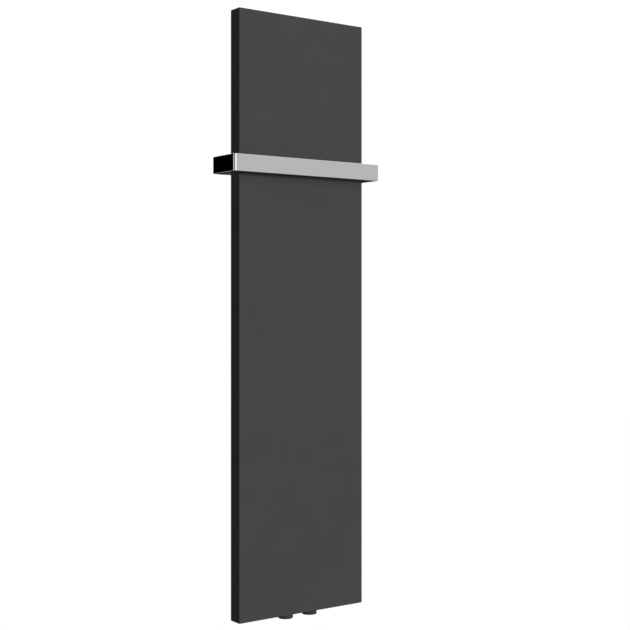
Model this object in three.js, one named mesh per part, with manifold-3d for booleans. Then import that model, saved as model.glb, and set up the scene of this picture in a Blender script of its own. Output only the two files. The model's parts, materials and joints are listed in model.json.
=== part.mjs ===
// A tall, flat hot-water radiator for a bathroom wall: a folded steel front tray over a welded
// register of six flat water tubes, hung on four wall brackets, with a chromed towel rail that
// wraps round the tray and is clamped to its back lips.
//
// Frame, in millimetres: the origin is on the wall, on the radiator's centre line, level with the
// tray's bottom edge. +X is to the right as seen from the room, +Y goes into the wall, +Z is up.
import * as THREE from "three";
import { mergeVertices } from "three/addons/utils/BufferGeometryUtils.js";
import Module from "manifold-3d";

const wasm = await Module();
wasm.setup();

// ---------------------------------------------------------------- driving dimensions
const TRAY_WIDTH = 452;
const TRAY_HEIGHT = 1800;
const TRAY_DEPTH = 48;
const SHEET = 1.5;
const PIPE_HOLE = 15; // radius of the two holes in the tray's bottom edge
const KEY_HOLE = 12; // radius of the hole in its top edge, for the bleed key
const FOLD_RADIUS = 2; // outside radius of every folded edge
const LIP = 14; // how far the back lips reach inwards
const WALL_GAP = 54; // from the tray's back to the wall
const FIT = 0.3; // gap between pieces that touch

const HEADER = 30; // side of the square header tube
const HEADER_WALL = 2;
const HEADER_LENGTH = 418;
const HEADER_INSET = 27; // from the tray's end to the header
const END_CAP = 2.5;

const TUBE_COUNT = 6;
const TUBE_WIDTH = 64;
const TUBE_DEPTH = 11;
const TUBE_WALL = 1.5;
const TUBE_PITCH = 70;
const PORT_WIDTH = 40; // of the opening between a flat tube and a header
const PORT_HEIGHT = 8;

const SOCKET_SPACING = 88; // between the two water connections
const SOCKET_RADIUS = 13;
const SOCKET_BORE = 9.3; // tapping radius of a half-inch pipe thread
const SOCKET_REACH = 10; // below the tray
const COLLAR_RADIUS = 23;
const COLLAR_REACH = 12.9; // below the tray
const COLLAR_EDGE = 0.8; // rounding of the collar's lower edge
const COLLAR_HUB_WALL = 1.3;
const COLLAR_HUB_HIGH = 5; // above the tray's bottom edge
const SOCKET_CHAMFER = 1.5; // at the mouth of the tapped bore

const VENT_X = 150;
const VENT_HOLE = 5; // radius of the hole from the top header into the bleed valve

const RAIL_HEIGHT = 50;
const RAIL_THICKNESS = 5;
const RAIL_BOTTOM = 1318;
const RAIL_FRONT_REACH = 37; // in front of the tray
const RAIL_SIDE_REACH = 39; // beside the tray
const RAIL_BACK = 89; // behind the tray's front face
const RAIL_BEND_RADIUS = 8.5;
const RAIL_RETURN_END = 192; // where each return stops, from the centre line
const CLAMP_SCREW_X = 205.5;
const CLAMP_SCREW_RISE = 12; // above and below the rail's middle

const BRACKET_X = 105;
const BRACKET_LOW_Z = 160;
const BRACKET_HIGH_Z = 1640;
const LIFT = 20; // travel that frees the radiator from its brackets

const ROUND = 18; // sides of a round piece
const SLIM = 10; // sides of a slim screw, plug or drilled hole
const ARC = 2; // steps in a quarter of a rounded edge
const BEND_ARC = 4; // steps in a quarter of the rail's bends

// ---------------------------------------------------------------- places worked out from them
const FRONT_TO_WALL = TRAY_DEPTH + WALL_GAP;
const TUBE_MIDDLE = SHEET + FIT + TUBE_DEPTH / 2;
const TUBE_BACK = SHEET + FIT + TUBE_DEPTH;
const HEADER_FRONT = TUBE_BACK + FIT; // depth of the header's front face
const HEADER_MIDDLE = HEADER_FRONT + HEADER / 2;
const TOP_HEADER_Z = TRAY_HEIGHT - HEADER_INSET - HEADER;
const BOTTOM_HEADER_Z = HEADER_INSET;
const RAIL_MIDDLE_Z = RAIL_BOTTOM + RAIL_HEIGHT / 2;
const RAIL_INSIDE_BACK = RAIL_BACK - RAIL_THICKNESS;

// A depth is counted from the tray's front face towards the wall.
const yAt = (depth) => depth - FRONT_TO_WALL;

// ---------------------------------------------------------------- materials
const metal = (color, roughness, metalness) =>
  new THREE.MeshStandardMaterial({ color, roughness, metalness });
const powderCoat = () => metal(0x2e2f31, 0.6, 0.2);
const chrome = () => metal(0xd9dadd, 0.08, 1);
const paintedSteel = () => metal(0x2a2b2d, 0.7, 0.2);
const zincSteel = () => metal(0xb4b7ba, 0.35, 1);
const nickelBrass = () => metal(0xc9c4b4, 0.25, 1);
const blackPlastic = () => metal(0x141416, 0.5, 0);
const greyNylon = () => metal(0x8c8f92, 0.6, 0);
const rubber = () => metal(0x1a1a1a, 0.9, 0);

// ---------------------------------------------------------------- solids
// A closed three.js geometry as a solid that can be cut and joined.
function solid(geometry) {
  const bare = geometry.clone();
  bare.deleteAttribute("normal");
  bare.deleteAttribute("uv");
  const merged = mergeVertices(bare, 1e-4);
  return new wasm.Manifold(
    new wasm.Mesh({
      numProp: 3,
      vertProperties: merged.attributes.position.array,
      triVerts: new Uint32Array(merged.index.array),
    }),
  );
}

function geometryOf(made) {
  const mesh = made.getMesh();
  const geometry = new THREE.BufferGeometry();
  geometry.setAttribute("position", new THREE.BufferAttribute(mesh.vertProperties, 3));
  geometry.setIndex(new THREE.BufferAttribute(mesh.triVerts, 1));
  const flat = geometry.toNonIndexed();
  flat.computeVertexNormals();
  return flat;
}

// A box between two corners.
function block([x0, y0, z0], [x1, y1, z1]) {
  const box = new THREE.BoxGeometry(x1 - x0, y1 - y0, z1 - z0);
  return solid(box.translate((x0 + x1) / 2, (y0 + y1) / 2, (z0 + z1) / 2));
}

function roundedRectangle(width, height, radius) {
  const [x, y] = [width / 2, height / 2];
  const shape = new THREE.Shape();
  shape.moveTo(x, y - radius);
  shape.absarc(x - radius, y - radius, radius, 0, Math.PI / 2);
  shape.absarc(radius - x, y - radius, radius, Math.PI / 2, Math.PI);
  shape.absarc(radius - x, radius - y, radius, Math.PI, 1.5 * Math.PI);
  shape.absarc(x - radius, radius - y, radius, 1.5 * Math.PI, 2 * Math.PI);
  shape.closePath();
  return shape;
}

// A shape drawn in X and Y, made thick along Z from z = 0.
function raised(shape, height, curveSegments) {
  return solid(
    new THREE.ExtrudeGeometry(shape, { depth: height, bevelEnabled: false, curveSegments }),
  );
}

// A prism with rounded upright edges, centred on X and Y and standing on z = 0.
const roundedPrism = (width, depth, height, radius, steps = ARC) =>
  raised(roundedRectangle(width, depth, radius), height, steps);

// A box centred on the origin with every edge rounded.
function roundedBlock(width, depth, height, radius) {
  const upright = roundedPrism(width, depth, height, radius).translate([0, 0, -height / 2]);
  const across = roundedPrism(height, depth, width, radius)
    .translate([0, 0, -width / 2])
    .rotate([0, 90, 0]);
  const through = roundedPrism(width, height, depth, radius)
    .translate([0, 0, -depth / 2])
    .rotate([90, 0, 0]);
  return upright.intersect(across).intersect(through);
}

// A turned piece about Z from its half outline, which runs anticlockwise in (radius, height).
function turned(outline, sides = ROUND) {
  const points = outline.map(([radius, height]) => new THREE.Vector2(radius, height));
  return solid(new THREE.LatheGeometry(points, sides).rotateX(Math.PI / 2));
}

// A closed ring outline for a tube-like turned piece.
const ringOutline = (inner, outer, low, high) => [
  [inner, low],
  [outer, low],
  [outer, high],
  [inner, high],
  [inner, low],
];

// A plain round bar about Z.
const bar = (radius, low, high, sides = ROUND) =>
  turned([[0, low], [radius, low], [radius, high], [0, high]], sides);

// A six-sided bar about Z, measured across its flats.
const hexBar = (flats, low, high) => bar(flats / Math.sqrt(3), low, high, 6);

// Turns a piece made along Z so that it points into the wall, with z = 0 at the tray's front.
const intoWall = (made, x, z) => made.rotate([-90, 0, 0]).translate([x, yAt(0), z]);

// ---------------------------------------------------------------- front tray
function frontTray() {
  const middle = [0, yAt(TRAY_DEPTH / 2), TRAY_HEIGHT / 2];
  const outside = roundedBlock(TRAY_WIDTH, TRAY_DEPTH, TRAY_HEIGHT, FOLD_RADIUS);
  const inside = roundedBlock(
    TRAY_WIDTH - 2 * SHEET,
    TRAY_DEPTH - 2 * SHEET,
    TRAY_HEIGHT - 2 * SHEET,
    FOLD_RADIUS - SHEET,
  );
  const backOpening = roundedPrism(TRAY_WIDTH - 2 * LIP, TRAY_HEIGHT - 2 * LIP, 3 * SHEET, LIP / 4)
    .rotate([-90, 0, 0])
    .translate([0, TRAY_DEPTH / 2 - 2 * SHEET, 0]);
  const shell = outside.subtract(inside).subtract(backOpening).translate(middle);

  const pipeHoles = [-1, 1].map((side) =>
    bar(PIPE_HOLE, -1, 2 * SHEET).translate([
      (side * SOCKET_SPACING) / 2,
      yAt(HEADER_MIDDLE),
      0,
    ]),
  );
  const keyHole = bar(KEY_HOLE, -2 * SHEET, 1).translate([VENT_X, yAt(HEADER_MIDDLE), TRAY_HEIGHT]);
  return shell.subtract(pipeHoles[0]).subtract(pipeHoles[1]).subtract(keyHole);
}

// ---------------------------------------------------------------- water register
const tubeX = (index) => (index - (TUBE_COUNT - 1) / 2) * TUBE_PITCH;
const tubeIndexes = [...Array(TUBE_COUNT).keys()];

// The openings from a flat tube's back into the header behind it.
const ports = (index, headerZ) =>
  block(
    [tubeX(index) - PORT_WIDTH / 2, yAt(TUBE_MIDDLE), headerZ + (HEADER - PORT_HEIGHT) / 2],
    [
      tubeX(index) + PORT_WIDTH / 2,
      yAt(HEADER_FRONT + HEADER_WALL + 1),
      headerZ + (HEADER + PORT_HEIGHT) / 2,
    ],
  );

// A flat tube, closed at both ends, that passes in front of both headers.
function flatTube(index) {
  const length = TRAY_HEIGHT - 2 * HEADER_INSET;
  const outside = roundedPrism(TUBE_WIDTH, TUBE_DEPTH, length, TUBE_DEPTH / 2 - 0.1);
  const inside = roundedPrism(
    TUBE_WIDTH - 2 * TUBE_WALL,
    TUBE_DEPTH - 2 * TUBE_WALL,
    length - 2 * TUBE_WALL,
    TUBE_DEPTH / 2 - TUBE_WALL - 0.1,
  ).translate([0, 0, TUBE_WALL]);
  return outside
    .subtract(inside)
    .translate([tubeX(index), yAt(TUBE_MIDDLE), HEADER_INSET])
    .subtract(ports(index, TOP_HEADER_Z))
    .subtract(ports(index, BOTTOM_HEADER_Z));
}

// A square header tube behind the flat tubes, open at both ends.
function header(lowZ) {
  const half = HEADER_LENGTH / 2;
  const outside = block(
    [-half, yAt(HEADER_FRONT), lowZ],
    [half, yAt(HEADER_FRONT + HEADER), lowZ + HEADER],
  );
  const inside = block(
    [-half - 1, yAt(HEADER_FRONT + HEADER_WALL), lowZ + HEADER_WALL],
    [half + 1, yAt(HEADER_FRONT + HEADER - HEADER_WALL), lowZ + HEADER - HEADER_WALL],
  );
  return tubeIndexes.reduce(
    (made, index) => made.subtract(ports(index, lowZ)),
    outside.subtract(inside),
  );
}

function topHeader() {
  const ventHole = bar(VENT_HOLE, -2 * HEADER_WALL, 1).translate([
    VENT_X,
    yAt(HEADER_MIDDLE),
    TOP_HEADER_Z + HEADER,
  ]);
  return header(TOP_HEADER_Z).subtract(ventHole);
}

function bottomHeader() {
  const waterHole = (side) =>
    bar(SOCKET_BORE, -1, 2 * HEADER_WALL).translate([
      (side * SOCKET_SPACING) / 2,
      yAt(HEADER_MIDDLE),
      BOTTOM_HEADER_Z,
    ]);
  return header(BOTTOM_HEADER_Z).subtract(waterHole(-1)).subtract(waterHole(1));
}

// A plate over a header's open end, with a raised middle that enters the tube.
function headerCap(side, lowZ) {
  const plug = HEADER - 2 * HEADER_WALL - 2 * FIT;
  const plate = roundedPrism(HEADER, HEADER, END_CAP, 2);
  const raisedMiddle = roundedPrism(plug, plug, END_CAP + 2 * FIT, 1).translate([0, 0, -END_CAP]);
  return plate
    .add(raisedMiddle)
    .rotate([0, side * 90, 0])
    .translate([
      side * (HEADER_LENGTH / 2 + FIT),
      yAt(HEADER_MIDDLE),
      lowZ + HEADER / 2,
    ]);
}

// The plate that keeps the flow and return water apart inside the bottom header.
function flowDivider() {
  const side = HEADER - 2 * HEADER_WALL - 2 * FIT;
  return solid(new THREE.BoxGeometry(2, side, side)).translate([
    0,
    yAt(HEADER_MIDDLE),
    BOTTOM_HEADER_Z + HEADER / 2,
  ]);
}

// ---------------------------------------------------------------- water connections
function pipeSocket(side) {
  const top = BOTTOM_HEADER_Z - FIT;
  return turned([
    [SOCKET_BORE, SOCKET_CHAMFER - SOCKET_REACH],
    [SOCKET_BORE + SOCKET_CHAMFER, -SOCKET_REACH],
    [SOCKET_RADIUS - 1, -SOCKET_REACH],
    [SOCKET_RADIUS, 1 - SOCKET_REACH],
    [SOCKET_RADIUS, top],
    [SOCKET_BORE, top],
    [SOCKET_BORE, SOCKET_CHAMFER - SOCKET_REACH],
  ]).translate([(side * SOCKET_SPACING) / 2, yAt(HEADER_MIDDLE), 0]);
}

// The round cover below the tray, whose hub enters the hole round the socket.
function coverCollar(side) {
  const bore = SOCKET_RADIUS + FIT;
  const hub = bore + COLLAR_HUB_WALL;
  const roundedEdge = [...Array(ARC + 1).keys()].map((step) => {
    const angle = (step / ARC - 1) * (Math.PI / 2);
    return [
      COLLAR_RADIUS - COLLAR_EDGE + COLLAR_EDGE * Math.cos(angle),
      COLLAR_EDGE - COLLAR_REACH + COLLAR_EDGE * Math.sin(angle),
    ];
  });
  return turned([
    [bore, -COLLAR_REACH],
    ...roundedEdge,
    [COLLAR_RADIUS, -FIT],
    [hub, -FIT],
    [hub, COLLAR_HUB_HIGH],
    [bore, COLLAR_HUB_HIGH],
    [bore, -COLLAR_REACH],
  ]).translate([(side * SOCKET_SPACING) / 2, yAt(HEADER_MIDDLE), 0]);
}

// ---------------------------------------------------------------- bleed valve, on the top header
const VENT_BASE_Z = TOP_HEADER_Z + HEADER + FIT;
const BOSS_HEIGHT = 8;
const BOSS_RADIUS = 11;
const VENT_SHANK = 6.3;
const SEAL = 1.2;
const SEAL_RADIUS = 8.5;
const VENT_BORE = 2.8;
const VENT_SEAT = 1.2; // radius of the water hole that the spindle's needle closes
const VENT_LOW = 1.5;
const VENT_NOSE = 5.5;
const VENT_OUTLET = 1;
const SPINDLE = 2.5;
const NEEDLE_LOW = 3;
const NEEDLE_TIP = 0.6;
const KEY_SQUARE = 4.7; // across the flats that the bleed key grips
const HEX_FLATS = 17;
const HEX_LOW = BOSS_HEIGHT + SEAL + 2 * FIT;
const HEX_HIGH = HEX_LOW + 6;
const NOSE_HIGH = HEX_HIGH + 3;
const atVent = (made) => made.translate([VENT_X, yAt(HEADER_MIDDLE), VENT_BASE_Z]);

const ventBoss = () =>
  atVent(turned(ringOutline(VENT_SHANK + FIT, BOSS_RADIUS, 0, BOSS_HEIGHT)));

const ventSeal = () =>
  atVent(
    turned(
      ringOutline(VENT_SHANK + FIT, SEAL_RADIUS, BOSS_HEIGHT + FIT, BOSS_HEIGHT + FIT + SEAL),
    ),
  );

function ventBody() {
  const turnedPart = turned([
    [VENT_SEAT, VENT_LOW],
    [VENT_SHANK, VENT_LOW],
    [VENT_SHANK, HEX_LOW + 1],
    [VENT_NOSE, HEX_LOW + 1],
    [VENT_NOSE, NOSE_HIGH],
    [VENT_BORE, NOSE_HIGH],
    [VENT_BORE, VENT_LOW + 2.5],
    [VENT_SEAT, VENT_LOW + 0.9],
    [VENT_SEAT, VENT_LOW],
  ]);
  const hexagon = hexBar(HEX_FLATS, HEX_LOW, HEX_HIGH).subtract(
    bar(VENT_NOSE - 1, HEX_LOW - 1, HEX_HIGH + 1),
  );
  const outlet = bar(VENT_OUTLET, 0, VENT_NOSE + 2.5, SLIM)
    .rotate([0, 90, 0])
    .translate([0, 0, NOSE_HIGH - 1.6]);
  return atVent(turnedPart.add(hexagon).subtract(outlet));
}

// Needle, shaft and the square that a bleed key fits.
function ventSpindle() {
  const squareHigh = NOSE_HIGH + KEY_SQUARE;
  const shaft = turned([
    [0, NEEDLE_LOW],
    [NEEDLE_TIP, NEEDLE_LOW],
    [SPINDLE, NEEDLE_LOW + SPINDLE - NEEDLE_TIP],
    [SPINDLE, squareHigh - 1],
    [0, squareHigh - 1],
  ]);
  const square = block(
    [-KEY_SQUARE / 2, -KEY_SQUARE / 2, NOSE_HIGH + FIT],
    [KEY_SQUARE / 2, KEY_SQUARE / 2, squareHigh],
  );
  return atVent(shaft.add(square));
}

// ---------------------------------------------------------------- hanging lugs and wall brackets
const LUG_FRONT = 36; // depth of the lug plate's front face
const LUG_SHEET = 3;
const LUG_HALF_WIDTH = 26; // keeps both legs on the flat of the water tube
const LUG_ABOVE = 18;
const LUG_BELOW = 36;
const NECK = 4.7;
const HANGER_HEAD = 10;
const HANGER_HEAD_DEPTH = 4;
const HANGER_COLLAR = 13;
const HANGER_COLLAR_DEPTH = 4;
const STEM = 9;
const BASE_RADIUS = 18;
const BASE_LENGTH = 38; // from the wall to the base's mouth
const BASE_FRONT = FRONT_TO_WALL - BASE_LENGTH;
const BASE_FLOOR = 6;
const STEM_END = BASE_FRONT + 20;
const LOCK_SCREW_DEPTH = BASE_FRONT + 8;
const LOCK_SCREW = 2.5;
const SCREW_HOLE = 3.4;
const RELIEF_RADIUS = 6.5; // a shallow recess round the screw's hole, clear of the wall plug
const RELIEF_DEPTH = 1;
const WALL_SCREW = 2.9;
const WALL_SCREW_HEAD = 6;
const WALL_SCREW_REACH = 44; // into the wall
const PLUG_RADIUS = 5;
const PLUG_WAIST = 4.2;
const PLUG_BORE = 3.2;
const PLUG_LENGTH = 50;
const BARB_PITCH = 13;

// A hat-shaped plate on the water tubes, with a keyhole for the hanger's head.
function hangingLug(x, z) {
  const plate = block(
    [x - LUG_HALF_WIDTH, yAt(LUG_FRONT), z - LUG_BELOW],
    [x + LUG_HALF_WIDTH, yAt(LUG_FRONT + LUG_SHEET), z + LUG_ABOVE],
  );
  const legs = [-1, 1].map((side) => {
    const outer = x + side * LUG_HALF_WIDTH;
    const inner = outer - side * LUG_SHEET;
    return block(
      [Math.min(outer, inner), yAt(TUBE_BACK + FIT), z - LUG_BELOW],
      [Math.max(outer, inner), yAt(LUG_FRONT + 1), z + LUG_ABOVE],
    );
  });
  const slotRadius = NECK + FIT;
  const hole = (radius) => bar(radius, LUG_FRONT - 1, LUG_FRONT + LUG_SHEET + 1);
  const slot = block(
    [x - slotRadius, yAt(LUG_FRONT - 1), z - LIFT],
    [x + slotRadius, yAt(LUG_FRONT + LUG_SHEET + 1), z],
  );
  return plate
    .add(legs[0])
    .add(legs[1])
    .subtract(intoWall(hole(slotRadius), x, z))
    .subtract(slot)
    .subtract(intoWall(hole(HANGER_HEAD + 1), x, z - LIFT));
}

// Head, neck, collar and stem of the piece that carries the radiator.
function hanger(x, z) {
  const neckLow = LUG_FRONT - FIT;
  const neckHigh = LUG_FRONT + LUG_SHEET + FIT;
  const made = turned([
    [0, neckLow - HANGER_HEAD_DEPTH],
    [HANGER_HEAD - 1, neckLow - HANGER_HEAD_DEPTH],
    [HANGER_HEAD, neckLow - HANGER_HEAD_DEPTH + 1],
    [HANGER_HEAD, neckLow],
    [NECK, neckLow],
    [NECK, neckHigh],
    [HANGER_COLLAR, neckHigh],
    [HANGER_COLLAR, neckHigh + HANGER_COLLAR_DEPTH],
    [STEM, neckHigh + HANGER_COLLAR_DEPTH],
    [STEM, STEM_END],
    [0, STEM_END],
  ]);
  return intoWall(made, x, z);
}

// The cup that is screwed to the wall; the hanger's stem slides in it.
function bracketBase(x, z, side) {
  const bore = STEM + FIT;
  const cup = turned([
    [SCREW_HOLE, FRONT_TO_WALL - BASE_FLOOR],
    [bore, FRONT_TO_WALL - BASE_FLOOR],
    [bore, BASE_FRONT],
    [BASE_RADIUS - 1, BASE_FRONT],
    [BASE_RADIUS, BASE_FRONT + 1],
    [BASE_RADIUS, FRONT_TO_WALL],
    [RELIEF_RADIUS, FRONT_TO_WALL],
    [RELIEF_RADIUS, FRONT_TO_WALL - RELIEF_DEPTH],
    [SCREW_HOLE, FRONT_TO_WALL - RELIEF_DEPTH],
    [SCREW_HOLE, FRONT_TO_WALL - BASE_FLOOR],
  ]);
  const screwHole = bar(LOCK_SCREW + FIT, 0, BASE_RADIUS + 2, SLIM)
    .rotate([0, side * 90, 0])
    .translate([x, yAt(LOCK_SCREW_DEPTH), z]);
  return intoWall(cup, x, z).subtract(screwHole);
}

// A headless screw with a hexagon socket, which locks the stem in its base.
function lockScrew(x, z, side) {
  const screw = turned(
    [
      [0, STEM + 0.4],
      [LOCK_SCREW - 0.8, STEM + 0.4],
      [LOCK_SCREW, STEM + 1.2],
      [LOCK_SCREW, BASE_RADIUS - 0.6],
      [0, BASE_RADIUS - 0.6],
    ],
    SLIM,
  ).subtract(hexBar(2.5, BASE_RADIUS - 3, BASE_RADIUS + 1));
  return screw.rotate([0, side * 90, 0]).translate([x, yAt(LOCK_SCREW_DEPTH), z]);
}

function wallScrew(x, z) {
  const seat = FRONT_TO_WALL - BASE_FLOOR - FIT;
  const tip = FRONT_TO_WALL + WALL_SCREW_REACH;
  const made = turned(
    [
      [0, seat - 4],
      [WALL_SCREW_HEAD - 2, seat - 4],
      [WALL_SCREW_HEAD, seat - 2],
      [WALL_SCREW_HEAD, seat],
      [WALL_SCREW, seat],
      [WALL_SCREW, tip - 5],
      [0.5, tip],
      [0, tip],
    ],
    SLIM,
  ).subtract(hexBar(3, seat - 5, seat - 2));
  return intoWall(made, x, z);
}

// A barbed sleeve in the drilled wall.
function wallPlug(x, z) {
  const mouth = FRONT_TO_WALL + FIT;
  const barbs = [1, 2, 3].flatMap((barb) => [
    [PLUG_WAIST, mouth + barb * BARB_PITCH - 2],
    [PLUG_RADIUS, mouth + barb * BARB_PITCH],
  ]);
  const made = turned(
    [
      [PLUG_BORE, mouth],
      [PLUG_RADIUS, mouth],
      [PLUG_RADIUS, mouth + 4],
      ...barbs,
      [4, mouth + PLUG_LENGTH],
      [PLUG_BORE, mouth + PLUG_LENGTH],
      [PLUG_BORE, mouth],
    ],
    SLIM,
  );
  return intoWall(made, x, z);
}

// ---------------------------------------------------------------- towel rail and its clamps
const CLAMP_HOLE = 3.3;
const CLAMP_HALF_HEIGHT = 18;
const CLAMP_INNER_X = 197.5; // the clamp grips the tray's back lip between these two places
const CLAMP_OUTER_X = 223.5;
const CLAMP_SCREW = 2.9;
const CLAMP_SCREW_HEAD = 5.2;
const CLAMP_SCREW_HEAD_DEPTH = 3;
const JAW_THICKNESS = 5;
const JAW_BACK = TRAY_DEPTH - SHEET - FIT;
const JAW_FRONT = JAW_BACK - JAW_THICKNESS;
const clampScrewPlaces = [-1, 1].flatMap((side) =>
  [1, -1].map((row) => [side * CLAMP_SCREW_X, RAIL_MIDDLE_Z + row * CLAMP_SCREW_RISE]),
);

function railBand() {
  const width = TRAY_WIDTH + 2 * RAIL_SIDE_REACH;
  const depth = RAIL_FRONT_REACH + RAIL_BACK;
  const outside = roundedPrism(width, depth, RAIL_HEIGHT, RAIL_BEND_RADIUS, BEND_ARC);
  const inside = roundedPrism(
    width - 2 * RAIL_THICKNESS,
    depth - 2 * RAIL_THICKNESS,
    RAIL_HEIGHT + 2,
    RAIL_BEND_RADIUS - RAIL_THICKNESS,
    BEND_ARC,
  ).translate([0, 0, -1]);
  const backGap = block(
    [-RAIL_RETURN_END, depth / 2 - 2 * RAIL_THICKNESS, -1],
    [RAIL_RETURN_END, depth / 2 + 1, RAIL_HEIGHT + 1],
  );
  const band = outside
    .subtract(inside)
    .subtract(backGap)
    .translate([0, yAt((RAIL_BACK - RAIL_FRONT_REACH) / 2), RAIL_BOTTOM]);
  return clampScrewPlaces.reduce(
    (made, [x, z]) => made.subtract(intoWall(bar(CLAMP_HOLE, TRAY_DEPTH, RAIL_BACK + 1, SLIM), x, z)),
    band,
  );
}

// A block across the clamp screws of one side, between two depths.
function clampPiece(side, nearDepth, farDepth) {
  const width = CLAMP_OUTER_X - CLAMP_INNER_X;
  const thickness = farDepth - nearDepth;
  const made = roundedBlock(width, thickness, 2 * CLAMP_HALF_HEIGHT, 1.5).translate([
    (side * (CLAMP_INNER_X + CLAMP_OUTER_X)) / 2,
    yAt((nearDepth + farDepth) / 2),
    RAIL_MIDDLE_Z,
  ]);
  return clampScrewPlaces.reduce(
    (piece, [x, z]) =>
      piece.subtract(intoWall(bar(CLAMP_HOLE, nearDepth - 1, farDepth + 1, SLIM), x, z)),
    made,
  );
}

const clampSpacer = (side) => clampPiece(side, TRAY_DEPTH + FIT, RAIL_INSIDE_BACK - FIT);
const clampJaw = (side) => clampPiece(side, JAW_FRONT, JAW_BACK);

function clampScrew(x, z) {
  const seat = RAIL_BACK + FIT;
  const tip = JAW_FRONT - 4;
  const made = turned(
    [
      [0, tip],
      [CLAMP_SCREW - 0.7, tip],
      [CLAMP_SCREW, tip + 0.7],
      [CLAMP_SCREW, seat],
      [CLAMP_SCREW_HEAD, seat],
      [CLAMP_SCREW_HEAD, seat + 1.4],
      [CLAMP_SCREW_HEAD - 1.4, seat + CLAMP_SCREW_HEAD_DEPTH],
      [0, seat + CLAMP_SCREW_HEAD_DEPTH],
    ],
    SLIM,
  ).subtract(hexBar(4, seat + 1, seat + CLAMP_SCREW_HEAD_DEPTH + 1));
  return intoWall(made, x, z);
}

// ---------------------------------------------------------------- assembly
const radiator = new THREE.Group();

// A nested group that holds pieces which stay or move together.
function section() {
  const group = new THREE.Group();
  radiator.add(group);
  return group;
}

function place(group, name, made, material) {
  const mesh = new THREE.Mesh(geometryOf(made), material);
  mesh.name = name;
  group.add(mesh);
}

const wallSide = section();
const hangers = section();
const body = section();
const railSection = section();

const bracketPlaces = [
  ["upper_left", -1, BRACKET_HIGH_Z],
  ["upper_right", 1, BRACKET_HIGH_Z],
  ["lower_left", -1, BRACKET_LOW_Z],
  ["lower_right", 1, BRACKET_LOW_Z],
];
for (const [where, side, z] of bracketPlaces) {
  const x = side * BRACKET_X;
  place(wallSide, `wall_plug_${where}`, wallPlug(x, z), greyNylon());
  place(wallSide, `wall_screw_${where}`, wallScrew(x, z), zincSteel());
  place(wallSide, `bracket_base_${where}`, bracketBase(x, z, side), zincSteel());
  place(wallSide, `lock_screw_${where}`, lockScrew(x, z, side), zincSteel());
  place(hangers, `hanger_${where}`, hanger(x, z), zincSteel());
  place(body, `hanging_lug_${where}`, hangingLug(x, z), paintedSteel());
}

place(body, "front_panel", frontTray(), powderCoat());
place(body, "top_header", topHeader(), paintedSteel());
place(body, "bottom_header", bottomHeader(), paintedSteel());
place(body, "flow_divider", flowDivider(), paintedSteel());
for (const index of tubeIndexes) {
  place(body, `water_tube_${index + 1}`, flatTube(index), paintedSteel());
}
for (const [where, side] of [["left", -1], ["right", 1]]) {
  place(body, `top_header_cap_${where}`, headerCap(side, TOP_HEADER_Z), paintedSteel());
  place(body, `bottom_header_cap_${where}`, headerCap(side, BOTTOM_HEADER_Z), paintedSteel());
  place(body, `pipe_socket_${where}`, pipeSocket(side), paintedSteel());
  place(body, `cover_collar_${where}`, coverCollar(side), blackPlastic());
  place(railSection, `clamp_spacer_${where}`, clampSpacer(side), blackPlastic());
  place(railSection, `clamp_jaw_${where}`, clampJaw(side), zincSteel());
}

place(body, "vent_boss", ventBoss(), paintedSteel());
place(body, "vent_seal", ventSeal(), rubber());
place(body, "vent_body", ventBody(), nickelBrass());
place(body, "vent_spindle", ventSpindle(), nickelBrass());

place(railSection, "towel_rail", railBand(), chrome());
clampScrewPlaces.forEach(([x, z]) => {
  const where = `${z > RAIL_MIDDLE_Z ? "upper" : "lower"}_${x < 0 ? "left" : "right"}`;
  place(railSection, `clamp_screw_${where}`, clampScrew(x, z), zincSteel());
});

export default radiator;
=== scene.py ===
"""Looks of a vertical panel radiator with a wrapped towel rail, built round its CAD frame."""

import json
import math

import bmesh
import bpy
from mathutils import Matrix, Vector
from mathutils.geometry import tessellate_polygon


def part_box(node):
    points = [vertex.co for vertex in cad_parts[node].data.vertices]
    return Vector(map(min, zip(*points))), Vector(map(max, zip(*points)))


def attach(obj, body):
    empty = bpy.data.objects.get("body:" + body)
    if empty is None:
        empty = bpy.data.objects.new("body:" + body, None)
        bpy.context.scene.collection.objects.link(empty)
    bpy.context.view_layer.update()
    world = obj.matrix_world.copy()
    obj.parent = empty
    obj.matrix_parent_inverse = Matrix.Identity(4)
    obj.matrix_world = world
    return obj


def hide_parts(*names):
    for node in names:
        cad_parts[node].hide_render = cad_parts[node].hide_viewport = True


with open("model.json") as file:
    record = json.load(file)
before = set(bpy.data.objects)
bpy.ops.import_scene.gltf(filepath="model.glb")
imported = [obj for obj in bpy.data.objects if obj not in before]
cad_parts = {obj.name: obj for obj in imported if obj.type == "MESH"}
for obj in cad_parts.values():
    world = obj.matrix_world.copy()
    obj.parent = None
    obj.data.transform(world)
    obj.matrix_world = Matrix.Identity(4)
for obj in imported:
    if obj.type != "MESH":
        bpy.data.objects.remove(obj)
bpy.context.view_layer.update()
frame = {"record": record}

MM = 0.001
QUARTERS = ("upper_left", "upper_right", "lower_left", "lower_right")
SIDES = ("left", "right")

# ------------------------------------------------------------------ places, from the frame
PANEL_LOW, PANEL_HIGH = (Vector(corner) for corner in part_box("front_panel"))


def box(node):
    low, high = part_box(node)
    return Vector(low), Vector(high)


def middle(node):
    low, high = box(node)
    return (low + high) / 2


def size(node):
    low, high = box(node)
    return high - low


# ------------------------------------------------------------------ materials
def new_material(name):
    material = bpy.data.materials.new(name)
    material.use_nodes = True
    nodes = material.node_tree.nodes
    return material, nodes, material.node_tree.links, nodes["Principled BSDF"]


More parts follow.
